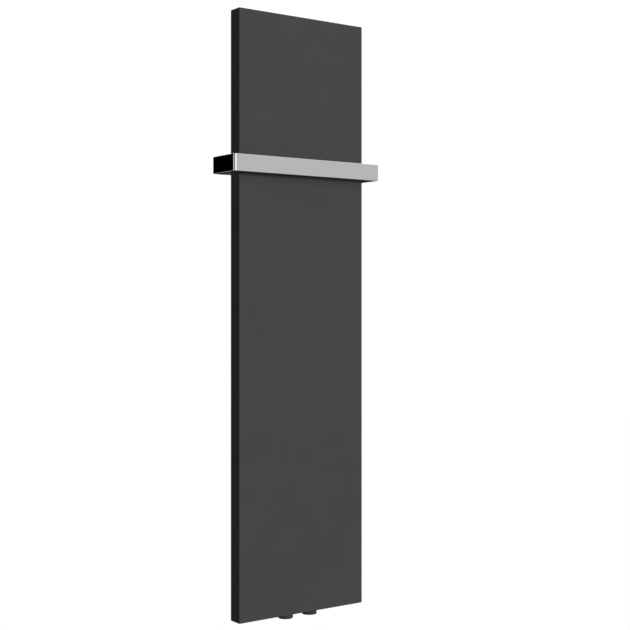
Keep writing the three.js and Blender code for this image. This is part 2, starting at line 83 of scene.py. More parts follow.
def noise(nodes, links, scale, detail=4.0, stretch=None, roughness=0.5):
    """Noise in the object's own metres; stretch scales it along each axis."""
    where = nodes.new("ShaderNodeTexCoord").outputs["Object"]
    if stretch:
        mapping = nodes.new("ShaderNodeMapping")
        mapping.inputs["Scale"].default_value = stretch
        links.new(where, mapping.inputs["Vector"])
        where = mapping.outputs["Vector"]
    texture = nodes.new("ShaderNodeTexNoise")
    texture.inputs["Scale"].default_value = scale
    texture.inputs["Detail"].default_value = detail
    texture.inputs["Roughness"].default_value = roughness
    links.new(where, texture.inputs["Vector"])
    return texture.outputs["Fac"]


def ranged(nodes, links, value, low, high, start=0.3, end=0.7):
    """Maps a texture's start..end to low..high."""
    mapping = nodes.new("ShaderNodeMapRange")
    mapping.inputs["From Min"].default_value = start
    mapping.inputs["From Max"].default_value = end
    mapping.inputs["To Min"].default_value = low
    mapping.inputs["To Max"].default_value = high
    links.new(value, mapping.inputs["Value"])
    return mapping.outputs["Result"]


def mixed_colour(nodes, links, value, dark, light):
    ramp = nodes.new("ShaderNodeValToRGB")
    ramp.color_ramp.elements[0].position = 0.3
    ramp.color_ramp.elements[0].color = (*dark, 1)
    ramp.color_ramp.elements[1].position = 0.7
    ramp.color_ramp.elements[1].color = (*light, 1)
    links.new(value, ramp.inputs["Fac"])
    return ramp.outputs["Color"]


def bumped(nodes, links, shader, heights):
    """Stacks bumps on the shader's normal; each is (height socket, depth in metres)."""
    normal = None
    for height, depth in heights:
        bump = nodes.new("ShaderNodeBump")
        bump.inputs["Strength"].default_value = 1.0
        bump.inputs["Distance"].default_value = depth
        links.new(height, bump.inputs["Height"])
        if normal:
            links.new(normal, bump.inputs["Normal"])
        normal = bump.outputs["Normal"]
    links.new(normal, shader.inputs["Normal"])


def powder_coat():
    """Matt anthracite powder coat: fine sand texture over a soft orange peel."""
    material, nodes, links, shader = new_material("powder_coat")
    cloud = noise(nodes, links, 9, detail=3)
    colour = mixed_colour(nodes, links, cloud, (0.056, 0.0562, 0.0572), (0.061, 0.0612, 0.0622))
    links.new(colour, shader.inputs["Base Color"])
    grain = noise(nodes, links, 1500, detail=2)
    links.new(ranged(nodes, links, grain, 0.62, 0.74), shader.inputs["Roughness"])
    peel = noise(nodes, links, 330, detail=1)
    bumped(nodes, links, shader, [(peel, 0.03 * MM), (grain, 0.02 * MM)])
    shader.inputs["Specular IOR Level"].default_value = 0.25
    return material


def register_paint():
    """Thinner paint over the welded steel register, a little uneven."""
    material, nodes, links, shader = new_material("register_paint")
    cloud = noise(nodes, links, 25, detail=5)
    colour = mixed_colour(nodes, links, cloud, (0.05, 0.0505, 0.052), (0.072, 0.0725, 0.074))
    links.new(colour, shader.inputs["Base Color"])
    grain = noise(nodes, links, 900, detail=3)
    links.new(ranged(nodes, links, cloud, 0.42, 0.66), shader.inputs["Roughness"])
    bumped(nodes, links, shader, [(cloud, 0.15 * MM), (grain, 0.03 * MM)])
    return material


def chrome():
    """Polished chrome plate with faint polishing lines and wiping haze."""
    material, nodes, links, shader = new_material("chrome")
    shader.inputs["Metallic"].default_value = 1.0
    shader.inputs["Base Color"].default_value = (0.80, 0.80, 0.815, 1)
    haze = noise(nodes, links, 14, detail=4)
    lines = noise(nodes, links, 1, detail=2, stretch=(40, 40, 4000))
    links.new(ranged(nodes, links, haze, 0.055, 0.10), shader.inputs["Roughness"])
    bumped(nodes, links, shader, [(lines, 0.0012 * MM)])
    return material


def zinc_plate():
    """Bright zinc on steel: a cool grain with a hint of passivation colour."""
    material, nodes, links, shader = new_material("zinc_plate")
    shader.inputs["Metallic"].default_value = 1.0
    cloud = noise(nodes, links, 120, detail=3)
    colour = mixed_colour(nodes, links, cloud, (0.50, 0.51, 0.53), (0.66, 0.67, 0.67))
    links.new(colour, shader.inputs["Base Color"])
    grain = noise(nodes, links, 2500, detail=3)
    links.new(ranged(nodes, links, grain, 0.24, 0.42), shader.inputs["Roughness"])
    bumped(nodes, links, shader, [(grain, 0.008 * MM)])
    return material


def nickel_brass():
    """Nickel-plated brass with turning marks."""
    material, nodes, links, shader = new_material("nickel_brass")
    shader.inputs["Metallic"].default_value = 1.0
    cloud = noise(nodes, links, 90, detail=3)
    colour = mixed_colour(nodes, links, cloud, (0.60, 0.56, 0.48), (0.70, 0.66, 0.58))
    links.new(colour, shader.inputs["Base Color"])
    marks = noise(nodes, links, 1, detail=2, stretch=(300, 300, 6000))
    links.new(ranged(nodes, links, marks, 0.16, 0.30), shader.inputs["Roughness"])
    bumped(nodes, links, shader, [(marks, 0.006 * MM)])
    return material


def moulded(name, dark, light, rough_low, rough_high, grain_depth):
    """Moulded plastic or rubber with a fine spark-eroded grain."""
    material, nodes, links, shader = new_material(name)
    cloud = noise(nodes, links, 60, detail=2)
    links.new(mixed_colour(nodes, links, cloud, dark, light), shader.inputs["Base Color"])
    grain = noise(nodes, links, 1800, detail=2)
    links.new(ranged(nodes, links, grain, rough_low, rough_high), shader.inputs["Roughness"])
    bumped(nodes, links, shader, [(grain, grain_depth)])
    return material


MATERIALS = {
    "powder_coat": powder_coat(),
    "register_paint": register_paint(),
    "chrome": chrome(),
    "zinc_steel": zinc_plate(),
    "socket_steel": register_paint(),
    "nickel_brass": nickel_brass(),
    "black_plastic": moulded(
        "black_plastic", (0.017, 0.017, 0.018), (0.023, 0.023, 0.024), 0.42, 0.56, 0.02 * MM
    ),
    "collar_plastic": moulded(
        "collar_plastic", (0.029, 0.029, 0.030), (0.037, 0.037, 0.038), 0.36, 0.48, 0.012 * MM
    ),
    "nylon": moulded(
        "nylon", (0.30, 0.31, 0.32), (0.36, 0.37, 0.38), 0.45, 0.60, 0.015 * MM
    ),
    "seal_rubber": moulded(
        "seal_rubber", (0.012, 0.012, 0.012), (0.02, 0.02, 0.02), 0.7, 0.9, 0.03 * MM
    ),
}
SLOT_OF = {part["node"]: part["material_slot"] for part in frame["record"]["subparts"]}
BODY_OF = {
    node: body
    for body, nodes in frame["record"]["behaviour"]["bodies"].items()
    for node in nodes
}

# ------------------------------------------------------------------ mesh work
BEVELLED_FROM = 32  # degrees between two faces, from which their edge is bevelled
AXIS_UP = Matrix.Identity(3)
AXIS_IN = Matrix(((1, 0, 0), (0, 0, 1), (0, -1, 0)))  # local z goes into the wall
AXIS_RIGHT = Matrix(((0, 0, 1), (0, 1, 0), (-1, 0, 0)))
AXIS_LEFT = Matrix(((0, 0, -1), (0, 1, 0), (1, 0, 0)))


def placed(bm, turn, origin):
    """Turns a mesh made along its own z and moves it to its place in the frame."""
    bmesh.ops.transform(bm, matrix=Matrix.Translation(origin) @ turn.to_4x4(), verts=bm.verts)
    return bm


def new_object(bm, name):
    """Links a mesh to the scene as an object, and frees the bmesh."""
    mesh = bpy.data.meshes.new(name)
    bm.to_mesh(mesh)
    bm.free()
    obj = bpy.data.objects.new(name, mesh)
    bpy.context.scene.collection.objects.link(obj)
    return obj


def piece(node, bm, edge=0.0, sharp=30, name=None, replace=True):
    """A fine piece in a CAD node's finish, which rides on its body and may stand in for it."""
    bmesh.ops.recalc_face_normals(bm, faces=bm.faces)
    for face in bm.faces:
        face.smooth = True
    obj = new_object(bm, name or f"{node}_fine")
    if edge:
        bevel = obj.modifiers.new("edges", "BEVEL")
        bevel.width = edge
        bevel.segments = 2
        bevel.limit_method = "ANGLE"
        bevel.angle_limit = math.radians(BEVELLED_FROM)
        bevel.use_clamp_overlap = True
    else:
        obj.data.set_sharp_from_angle(angle=math.radians(sharp))
    weigh = obj.modifiers.new("flat_faces", "WEIGHTED_NORMAL")
    weigh.keep_sharp = True
    obj.data.materials.append(MATERIALS[SLOT_OF[node]])
    if replace:
        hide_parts(node)
    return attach(obj, BODY_OF[node])


def ring_points(radius, height, sides, count):
    """A ring about z; with sides it is a regular polygon whose flats are radius away."""
    points = []
    for step in range(count):
        angle = 2 * math.pi * step / count
        reach = radius
        if sides:
            share = 2 * math.pi / sides
            reach = radius / math.cos((angle + share / 2) % share - share / 2)
        points.append((reach * math.cos(angle), reach * math.sin(angle), height))
    return points


def turned(outline, count=48):
    """A mesh turned about z from (radius, height[, sides]) in metres.

    An outline that starts and ends on the axis is closed there; any other closes on itself."""
    bm = bmesh.new()
    rings = []
    for radius, height, *sides in outline:
        if radius <= 0:
            rings.append([bm.verts.new((0, 0, height))])
        else:
            points = ring_points(radius, height, sides[0] if sides else 0, count)
            rings.append([bm.verts.new(point) for point in points])
    on_axis = len(rings[0]) == 1
    pairs = list(zip(rings, rings[1:] + ([] if on_axis else rings[:1])))
    for low, high in pairs:
        for step in range(count):
            after = (step + 1) % count
            corners = [low[step % len(low)], low[after % len(low)]]
            corners += [high[after % len(high)], high[step % len(high)]]
            unique = list(dict.fromkeys(corners))
            if len(unique) > 2:
                bm.faces.new(unique)
    return bm


def prism(outlines, low, high):
    """A solid between two heights from an outer outline and any holes, as (x, y) points."""
    loops = [[Vector((x, y, 0)) for x, y in outline] for outline in outlines]
    bm = bmesh.new()
    floors = [bm.verts.new((p.x, p.y, low)) for loop in loops for p in loop]
    roofs = [bm.verts.new((p.x, p.y, high)) for loop in loops for p in loop]
    for triangle in tessellate_polygon(loops):
        bm.faces.new([floors[i] for i in triangle])
        bm.faces.new([roofs[i] for i in reversed(triangle)])
    first = 0
    for loop in loops:
        count = len(loop)
        for step in range(count):
            a, b = first + step, first + (step + 1) % count
            bm.faces.new((floors[a], floors[b], roofs[b], roofs[a]))
        first += count
    bmesh.ops.recalc_face_normals(bm, faces=bm.faces)
    bmesh.ops.dissolve_limit(
        bm, angle_limit=math.radians(1), verts=bm.verts, edges=bm.edges,
        use_dissolve_boundaries=False,
    )
    return bm


def arc(centre_x, centre_y, radius, start, end, steps=8):
    """Points on an arc between two angles in degrees."""
    angles = [math.radians(start + (end - start) * step / steps) for step in range(steps + 1)]
    return [(centre_x + radius * math.cos(a), centre_y + radius * math.sin(a)) for a in angles]


def rounded_rectangle(width, height, radius, steps=8):
    x, y = width / 2 - radius, height / 2 - radius
    return (
        arc(x, y, radius, 0, 90, steps)
        + arc(-x, y, radius, 90, 180, steps)
        + arc(-x, -y, radius, 180, 270, steps)
        + arc(x, -y, radius, 270, 360, steps)
    )


def circle(radius, centre_x=0.0, centre_y=0.0, steps=40):
    return arc(centre_x, centre_y, radius, 0, 360, steps)[:-1]


def threaded(radius, depth, low, high, pitch):
    """Outline points of a thread's crests and roots, going up."""
    points = []
    turns = int((high - low) / pitch)
    for turn in range(turns):
        start = low + turn * pitch
        points += [
            (radius - depth, start),
            (radius, start + 0.4 * pitch),
            (radius, start + 0.6 * pitch),
        ]
    return points + [(radius - depth, low + turns * pitch), (radius - depth, high)]


def workpiece(bm, name):
    """A loose object to cut or thicken; finished() takes it out of the scene again."""
    bmesh.ops.recalc_face_normals(bm, faces=bm.faces)
    return new_object(bm, name)


def settle(obj):
    """Applies every modifier to the object's mesh."""
    bpy.context.view_layer.update()
    seen = obj.evaluated_get(bpy.context.evaluated_depsgraph_get())
    made = bpy.data.meshes.new_from_object(seen)
    obj.modifiers.clear()
    obj.data = made


def finished(obj):
    """The workpiece's mesh, ready for piece(), with the object itself removed."""
    bm = bmesh.new()
    bm.from_mesh(obj.data)
    bpy.data.objects.remove(obj)
    return bm


def cut(target, cutter_mesh, name):
    """Cuts a hole and applies it, so no cutter is left in the scene."""
    cutter = workpiece(cutter_mesh, name)
    boolean = target.modifiers.new(name, "BOOLEAN")
    boolean.operation = "DIFFERENCE"
    boolean.solver = "EXACT"
    boolean.object = cutter
    settle(target)
    bpy.data.objects.remove(cutter)


# ------------------------------------------------------------------ front panel
SHEET = 1.5 * MM
LIP = 14 * MM
FOLD_RADIUS = 2 * MM
PIPE_HOLE = 15 * MM
KEY_HOLE = 12 * MM


def front_panel():
    """One folded sheet: a flat front, four folds and mitred back lips, with holes in its ends."""
    low, high = PANEL_LOW, PANEL_HIGH
    bm = bmesh.new()
    front = [
        bm.verts.new((x, low.y, z))
        for x, z in ((low.x, low.z), (high.x, low.z), (high.x, high.z), (low.x, high.z))
    ]
    back = [bm.verts.new((v.co.x, high.y, v.co.z)) for v in front]
    inner = [
        bm.verts.new((v.co.x - math.copysign(LIP, v.co.x), high.y, z))
        for v, z in zip(back, (low.z + LIP, low.z + LIP, high.z - LIP, high.z - LIP))
    ]
    bm.faces.new(front)
    for a, b in ((0, 1), (1, 2), (2, 3), (3, 0)):
        bm.faces.new((front[b], front[a], back[a], back[b]))
        bm.faces.new((back[b], back[a], inner[a], inner[b]))
    folds = [edge for edge in bm.edges if not any(vert in inner for vert in edge.verts)]
    bmesh.ops.recalc_face_normals(bm, faces=bm.faces)
    if bm.faces[0].normal.y > 0:
        bmesh.ops.reverse_faces(bm, faces=bm.faces)
    bmesh.ops.bevel(
        bm, geom=folds, offset=FOLD_RADIUS, offset_type="OFFSET", segments=5,
        profile=0.5, affect="EDGES",
    )
    sheet = new_object(bm, "panel_sheet")
    thick = sheet.modifiers.new("thickness", "SOLIDIFY")
    thick.thickness = SHEET
    thick.offset = -1
    thick.use_even_offset = True
    settle(sheet)
    for side in SIDES:
        hole_at = middle(f"pipe_socket_{side}")
        outline = circle(PIPE_HOLE, hole_at.x, hole_at.y)
        cut(sheet, prism([outline], low.z - 2 * SHEET, low.z + 2 * SHEET), f"pipe_hole_{side}")
    key_at = middle("vent_spindle")
    outline = circle(KEY_HOLE, key_at.x, key_at.y)
    cut(sheet, prism([outline], high.z - 2 * SHEET, high.z + 2 * SHEET), "key_hole")
    return finished(sheet)


piece("front_panel", front_panel())

# ------------------------------------------------------------------ towel rail
RAIL_THICKNESS = 5 * MM
RAIL_BEND = 8.5 * MM
RAIL_EDGE = 0.9 * MM
CLAMP_HOLE = 3.3 * MM
RETURN_PAST_CLAMP = 5.5 * MM
BEND_STEPS = 10


def rail_path():
    """The rail's outer face in plan, from one return's end to the other: (point, outward)."""
    low, high = box("towel_rail")
    spacer_low, _ = box("clamp_spacer_right")
    end = spacer_low.x - RETURN_PAST_CLAMP
    x, y_front, y_back = high.x - RAIL_BEND, low.y + RAIL_BEND, high.y - RAIL_BEND
    bends = ((x, y_back, 90), (x, y_front, 0), (-x, y_front, -90), (-x, y_back, -180))
    path = [(Vector((end, high.y)), Vector((0, 1)))]
    for centre_x, centre_y, start in bends:
        for step in range(BEND_STEPS + 1):
            angle = math.radians(start - 90 * step / BEND_STEPS)
            out = Vector((math.cos(angle), math.sin(angle)))
            path.append((Vector((centre_x, centre_y)) + RAIL_BEND * out, out))
    path.append((Vector((-end, high.y)), Vector((0, 1))))
    return path


def towel_rail():
    """A flat bar with softly rounded edges, bent round the panel."""
    low, high = box("towel_rail")
    section = [
        (x - RAIL_THICKNESS / 2, z + (low.z + high.z) / 2)
        for x, z in rounded_rectangle(RAIL_THICKNESS, high.z - low.z, RAIL_EDGE, 5)
    ]
    bm = bmesh.new()
    loops = []
    for point, out in rail_path():
        loops.append(
            [bm.verts.new((point.x + out.x * s, point.y + out.y * s, z)) for s, z in section]
        )
    for near, far in zip(loops, loops[1:]):
        for step in range(len(section)):
            after = (step + 1) % len(section)
            bm.faces.new((near[step], near[after], far[after], far[step]))
    bm.faces.new(loops[0])
    bm.faces.new(loops[-1])
    rail = workpiece(bm, "rail")
    for quarter in QUARTERS:
        screw = middle(f"clamp_screw_{quarter}")
        start = (screw.x, high.y - 1.5 * RAIL_THICKNESS, screw.z)
        hole = placed(prism([circle(CLAMP_HOLE)], 0, 2 * RAIL_THICKNESS), AXIS_IN, start)
        cut(rail, hole, f"clamp_hole_{quarter}")
    return finished(rail)


piece("towel_rail", towel_rail())

# ------------------------------------------------------------------ clamps
def pierced_block(node, corner):
    """A block with rounded upright corners and the two clamp screws' holes, seen along y."""
    centre, extent = middle(node), size(node)
    side = "right" if centre.x > 0 else "left"
    holes = []
    for row in ("upper", "lower"):
        screw = middle(f"clamp_screw_{row}_{side}")
        holes.append(circle(CLAMP_HOLE, screw.x - centre.x, -(screw.z - centre.z), 24))
    outline = rounded_rectangle(extent.x, extent.z, corner)
    bm = prism([outline, *holes], -extent.y / 2, extent.y / 2)
    return placed(bm, AXIS_IN, centre)


for side in SIDES:
    piece(f"clamp_spacer_{side}", pierced_block(f"clamp_spacer_{side}", 5 * MM), edge=0.8 * MM)
    piece(f"clamp_jaw_{side}", pierced_block(f"clamp_jaw_{side}", 3 * MM), edge=0.4 * MM)


def clamp_screw(node):
    """Button head with a hexagon socket on a threaded shank; local z is the depth from its tip."""
    centre, extent = middle(node), size(node)
    length = extent.y
    head, shank, socket = 5.2 * MM, 2.9 * MM, 2 * MM
    thread_end = 20 * MM
    seat = length - 3 * MM
    outline = [
        (0, 0),
        (shank - 0.7 * MM, 0),
        *threaded(shank, 0.35 * MM, 0.7 * MM, thread_end, 1 * MM),
        (shank, thread_end + 0.3 * MM),
        (shank, seat),
        (head - 0.2 * MM, seat),
        (head, seat + 0.2 * MM),
        (head, seat + 0.9 * MM),
        (0.93 * head, seat + 1.7 * MM),
        (0.78 * head, seat + 2.4 * MM),
        (0.6 * head, seat + 2.85 * MM),
        (0.5 * head, length),
        (socket, length, 6),
        (socket, seat + 1 * MM, 6),
        (0, seat + 0.4 * MM),
    ]
    return placed(turned(outline), AXIS_IN, (centre.x, centre.y - length / 2, centre.z))


for quarter in QUARTERS:
    piece(f"clamp_screw_{quarter}", clamp_screw(f"clamp_screw_{quarter}"))

# ------------------------------------------------------------------ water register
HEADER_WALL = 2 * MM
HEADER_CORNER = 4 * MM
CAP_PLATE = 2.5 * MM
CAP_CORNER = 5 * MM
CAP_PLUG_INSET = 2.3 * MM  # from the cap's outline to its plug's
CAP_PLUG_CORNER = 2.5 * MM


def flat_tube(node):
    centre, extent = middle(node), size(node)
    outline = rounded_rectangle(extent.x, extent.y, extent.y / 2 - 0.05 * MM, 10)
    return placed(prism([outline], -extent.z / 2, extent.z / 2), AXIS_UP, centre)


def header_tube(node):
    centre, extent = middle(node), size(node)
    outside = rounded_rectangle(extent.z, extent.y, HEADER_CORNER)
    inside = rounded_rectangle(
        extent.z - 2 * HEADER_WALL, extent.y - 2 * HEADER_WALL, HEADER_CORNER - HEADER_WALL
    )
    return placed(prism([outside, inside], -extent.x / 2, extent.x / 2), AXIS_RIGHT, centre)


def header_cap(node):
    """A pressed cap: a rounded plate on the header's end, with a plug that goes inside it."""
    centre, extent = middle(node), size(node)
    plate_from = extent.x / 2 - CAP_PLATE
    plate_outline = rounded_rectangle(extent.z, extent.y, CAP_CORNER)
    bm = prism([plate_outline], plate_from, extent.x / 2)
    plug_outline = rounded_rectangle(
        extent.z - 2 * CAP_PLUG_INSET, extent.y - 2 * CAP_PLUG_INSET, CAP_PLUG_CORNER
    )
    plug = prism([plug_outline], -extent.x / 2, plate_from + 0.2 * MM)
    plug_mesh = bpy.data.meshes.new("cap_plug")
    plug.to_mesh(plug_mesh)
    plug.free()
    bm.from_mesh(plug_mesh)
    bpy.data.meshes.remove(plug_mesh)
    return placed(bm, AXIS_RIGHT if centre.x > 0 else AXIS_LEFT, centre)


TUBE_NODES = sorted(n for n in SLOT_OF if n.startswith("water_tube_"))
for node in TUBE_NODES:
    piece(node, flat_tube(node), edge=0.9 * MM)
for end in ("top", "bottom"):
    piece(f"{end}_header", header_tube(f"{end}_header"))
    for side in SIDES:
        piece(f"{end}_header_cap_{side}", header_cap(f"{end}_header_cap_{side}"), edge=0.6 * MM)


def flow_divider():
    centre, extent = middle("flow_divider"), size("flow_divider")
    bm = prism([rounded_rectangle(extent.z, extent.y, 1.5 * MM)], -extent.x / 2, extent.x / 2)
    return placed(bm, AXIS_RIGHT, centre)


piece("flow_divider", flow_divider(), edge=0.3 * MM)

# ------------------------------------------------------------------ welds
WELD_STEP = 0.55 * MM
WELD_RIPPLE = 2.2 * MM  # length of one ripple
WELD_SIDES = 10
WELD_SWELL = 0.08  # how much a ripple adds to the bead's radius, as a share of it
WELD_WANDER = 0.05  # the slow swelling along the bead
WELD_WANDER_RATE = 0.137  # radians for each step
WELD_END = 0.35  # the radius at a bead's end, as a share of the full one
WELD_TAPER = 1.5  # how far the end's taper goes, in radii


def evenly_spaced(points, closed):
    """Points along a line or a closed outline, a weld step apart."""
    route = points + points[:1] if closed else points
    made, carried = [], 0.0
    for near, far in zip(route, route[1:]):
        length = (far - near).length
        while carried < length:
            made.append(near.lerp(far, carried / length))
            carried += WELD_STEP
        carried -= length
    return made


def add_bead(bm, points, normal, radius, closed=False):
    """Adds a rippled weld bead along points that lie in one plane, whose normal is given."""
    route = evenly_spaced([Vector(point) for point in points], closed)
    count = len(route)
    loops = []
    for index, point in enumerate(route):
        ahead = route[(index + 1) % count] if closed or index + 1 < count else point
        behind = route[index - 1] if closed or index else point
        beside = (ahead - behind).normalized().cross(normal)
        swell = WELD_SWELL * math.sin(2 * math.pi * index * WELD_STEP / WELD_RIPPLE)
        swell += WELD_WANDER * math.sin(index * WELD_WANDER_RATE)
        reach = radius * (1 + swell)
        if not closed:
            to_end = min(index, count - 1 - index) * WELD_STEP
            risen = math.sqrt(to_end / (WELD_TAPER * radius))
            reach *= min(1, WELD_END + (1 - WELD_END) * risen)
        loop = []
        for side in range(WELD_SIDES):
            angle = 2 * math.pi * side / WELD_SIDES
            out = math.cos(angle) * beside + math.sin(angle) * normal
            loop.append(bm.verts.new(point + reach * out))
        loops.append(loop)
    for near, far in zip(loops, loops[1:] + (loops[:1] if closed else [])):
        for side in range(WELD_SIDES):
            after = (side + 1) % WELD_SIDES
            bm.faces.new((near[side], near[after], far[after], far[side]))
    if not closed:
        bm.faces.new(loops[0])
        bm.faces.new(loops[-1])


def welds(name, node, lines, normal, radius, closed=False):
    """One piece of separate beads, in the paint of the node they hold."""
    bm = bmesh.new()
    for line in lines:
        add_bead(bm, line, Vector(normal), radius, closed)
    piece(node, bm, sharp=60, name=name, replace=False)


def tube_seams():
    """Where each flat tube meets the two headers, on the side that faces the tube's middle."""
    for header, edge in (("top_header", 0), ("bottom_header", 1)):
        seam_z = box(header)[edge].z
        for node in TUBE_NODES:
            low, high = box(node)
            inset = size(node).y / 2
            yield [(low.x + inset, high.y, seam_z), (high.x - inset, high.y, seam_z)]


def cap_seams():
    """Round each end of both headers."""
    for header in ("top_header", "bottom_header"):
        low, high = box(header)
        centre, extent = middle(header), size(header)
        outline = rounded_rectangle(extent.y, extent.z, HEADER_CORNER)
        for end_x in (low.x, high.x):
            yield [(end_x, centre.y + y, centre.z + z) for y, z in outline]


def lug_seams():
    """Along both legs of every hanging lug, short of the legs' ends."""
    short = 3 * MM
    for quarter in QUARTERS:
        low, high = box(f"hanging_lug_{quarter}")
        for leg_x in (low.x, high.x):
            yield [(leg_x, low.y, low.z + short), (leg_x, low.y, high.z - short)]


def ring_seam(node, end):
    """Round one end of an upright round piece: 0 for its lower end, 1 for its upper end."""
    centre, radius = middle(node), size(node).x / 2
    return [(x, y, box(node)[end].z) for x, y in circle(radius, centre.x, centre.y)]


welds("tube_welds", "top_header", tube_seams(), (0, 1, 0), radius=1.9 * MM)
welds("cap_welds", "top_header", cap_seams(), (1, 0, 0), radius=1.1 * MM, closed=True)
welds("lug_welds", "top_header", lug_seams(), (0, 1, 0), radius=1.8 * MM)
ROUND_SEAMS = [ring_seam(f"pipe_socket_{side}", 1) for side in SIDES] + [ring_seam("vent_boss", 0)]
welds("socket_welds", "bottom_header", ROUND_SEAMS, (0, 0, 1), radius=1.6 * MM, closed=True)

# ------------------------------------------------------------------ water connections
def pipe_socket(node):
    """A tapped half-inch socket with a chamfered mouth."""
    centre, extent = middle(node), size(node)
    low, high = centre.z - extent.z / 2, centre.z + extent.z / 2
    outer, bore, crest = 13 * MM, 9.3 * MM, 10.4 * MM
    mouth, pitch, turns = 1.6 * MM, 1.81 * MM, 9
    thread = []
    for turn in range(turns):
        start = low + mouth + turn * pitch
        thread += [(crest, start + 0.1 * pitch), (bore + 0.2 * MM, start + 0.6 * pitch)]
    outline = [
        (outer - 1 * MM, low),
        (outer, low + 1 * MM),
        (outer, high - 0.5 * MM),
        (outer - 0.5 * MM, high),
        (bore, high),
        (bore, thread[-1][1] + pitch),
        *reversed(thread),
        (crest + 0.5 * MM, low),
    ]
    return placed(turned(outline, 64), AXIS_UP, (centre.x, centre.y, 0))


def cover_collar(node):
    """A round moulded cover with a rolled lower edge and a hub that enters the panel's hole."""
    centre, (low, high) = middle(node), box(node)
    outer = (high.x - low.x) / 2
    bore, hub, edge = 13.3 * MM, 14.6 * MM, 0.8 * MM
    under_panel = PANEL_LOW.z - 0.3 * MM
    rolled = [
        (outer - edge + edge * math.sin(a), low.z + edge - edge * math.cos(a))
        for a in (math.radians(10 * step) for step in range(10))
    ]
    outline = [
        (bore + 0.4 * MM, low.z),
        *rolled,
        (outer, under_panel - 0.5 * MM),
        (outer - 0.5 * MM, under_panel),
        (hub, under_panel),
        (hub, high.z - 0.5 * MM),
        (hub - 0.4 * MM, high.z),
        (bore, high.z),
        (bore, low.z + 0.4 * MM),
    ]
    return placed(turned(outline, 72), AXIS_UP, (centre.x, centre.y, 0))


for side in SIDES:
    piece(f"pipe_socket_{side}", pipe_socket(f"pipe_socket_{side}"))
    piece(f"cover_collar_{side}", cover_collar(f"cover_collar_{side}"))

# ------------------------------------------------------------------ bleed valve
BOSS_BORE = 6.6 * MM
BOSS_RADIUS = 11 * MM
SEAL_RADIUS = 8.5 * MM


def ring(node, inner, outer, edge):
    """A flat ring with bevelled outer edges."""
    centre, (low, high) = middle(node), box(node)
    outline = [
        (inner, low.z),
        (outer - edge, low.z),
        (outer, low.z + edge),
        (outer, high.z - edge),
        (outer - edge, high.z),
        (inner, high.z),
    ]
    return placed(turned(outline), AXIS_UP, (centre.x, centre.y, 0))


def vent_at():
    centre = middle("vent_spindle")
    return Vector((centre.x, centre.y, 0))


def vent_body():
    """A threaded plug with a hexagon, and a conical seat at the bottom of its bore."""
    low, high = box("vent_body")
    base, top = low.z, high.z
    seat, bore, neck, thread, flats = 1.2 * MM, 2.8 * MM, 5.5 * MM, 6.3 * MM, 8.5 * MM
    hex_low, hex_high = top - 9 * MM, top - 3 * MM
    outline = [
        (seat, base),
        (thread - 0.4 * MM, base),
        *threaded(thread, 0.45 * MM, base + 0.4 * MM, hex_low - 0.1 * MM, 1.2 * MM),
        (thread - 0.3 * MM, hex_low),
        (flats - 0.4 * MM, hex_low),
        (flats, hex_low + 0.4 * MM, 6),
        (flats, hex_high - 0.6 * MM, 6),
        (flats - 0.5 * MM, hex_high),
        (neck, hex_high),
        (neck, top - 0.4 * MM),
        (neck - 0.4 * MM, top),
        (bore, top),
        (bore, base + 2.5 * MM),
        (seat, base + 0.9 * MM),
    ]
    return placed(turned(outline, 72), AXIS_UP, vent_at())


def vent_spindle():
    """A needle with a threaded stem and a square for the bleed key."""
    low, high = box("vent_spindle")
    base, top = low.z, high.z
    stem, square = 2.5 * MM, 2.35 * MM
    cone, thread_end = base + 1.9 * MM, base + 10.1 * MM
    shoulder = top - 4.4 * MM
    outline = [
        (0, base),
        (0.6 * MM, base),
        (stem, cone),
        *threaded(stem, 0.3 * MM, cone + 0.2 * MM, thread_end, 0.8 * MM),
        (stem, thread_end + 0.3 * MM),
        (stem, shoulder - 0.2 * MM),
        (stem - 0.2 * MM, shoulder),
        (square, shoulder + 0.05 * MM, 4),
        (square, top - 0.4 * MM, 4),
        (square - 0.4 * MM, top, 4),
        (0, top),
    ]
    return placed(turned(outline, 64), AXIS_UP, vent_at())


piece("vent_boss", ring("vent_boss", BOSS_BORE, BOSS_RADIUS, 0.8 * MM))
piece("vent_seal", ring("vent_seal", BOSS_BORE, SEAL_RADIUS, 0.35 * MM))
piece("vent_body", vent_body())
piece("vent_spindle", vent_spindle())

# ------------------------------------------------------------------ hanging lugs and brackets
LUG_SHEET = 3 * MM
LUG_BEND = 4.5 * MM  # outside radius
NECK_SLOT = 5 * MM  # half the slot's width
KEYHOLE = 11 * MM
LOCK_HOLE = 2.8 * MM
LOCK_SCREW = 2.5 * MM
JOINTS = {joint["name"]: joint for joint in frame["record"]["behaviour"]["joints"]}
LIFT = JOINTS["lift_off"]["range_m"][1]


def hat_outline(width, depth):
    """The lug's section seen from above: two legs and a plate, folded from one strip."""
    half, inner = width / 2, LUG_BEND - LUG_SHEET
    bend_x, bend_y = half - LUG_BEND, depth - LUG_BEND
    return (
        [(-half, 0)]
        + arc(-bend_x, bend_y, LUG_BEND, 180, 90, 6)
        + arc(bend_x, bend_y, LUG_BEND, 90, 0, 6)
        + [(half, 0), (half - LUG_SHEET, 0)]
        + arc(bend_x, bend_y, inner, 0, 90, 6)
        + arc(-bend_x, bend_y, inner, 90, 180, 6)
        + [(-half + LUG_SHEET, 0)]
    )


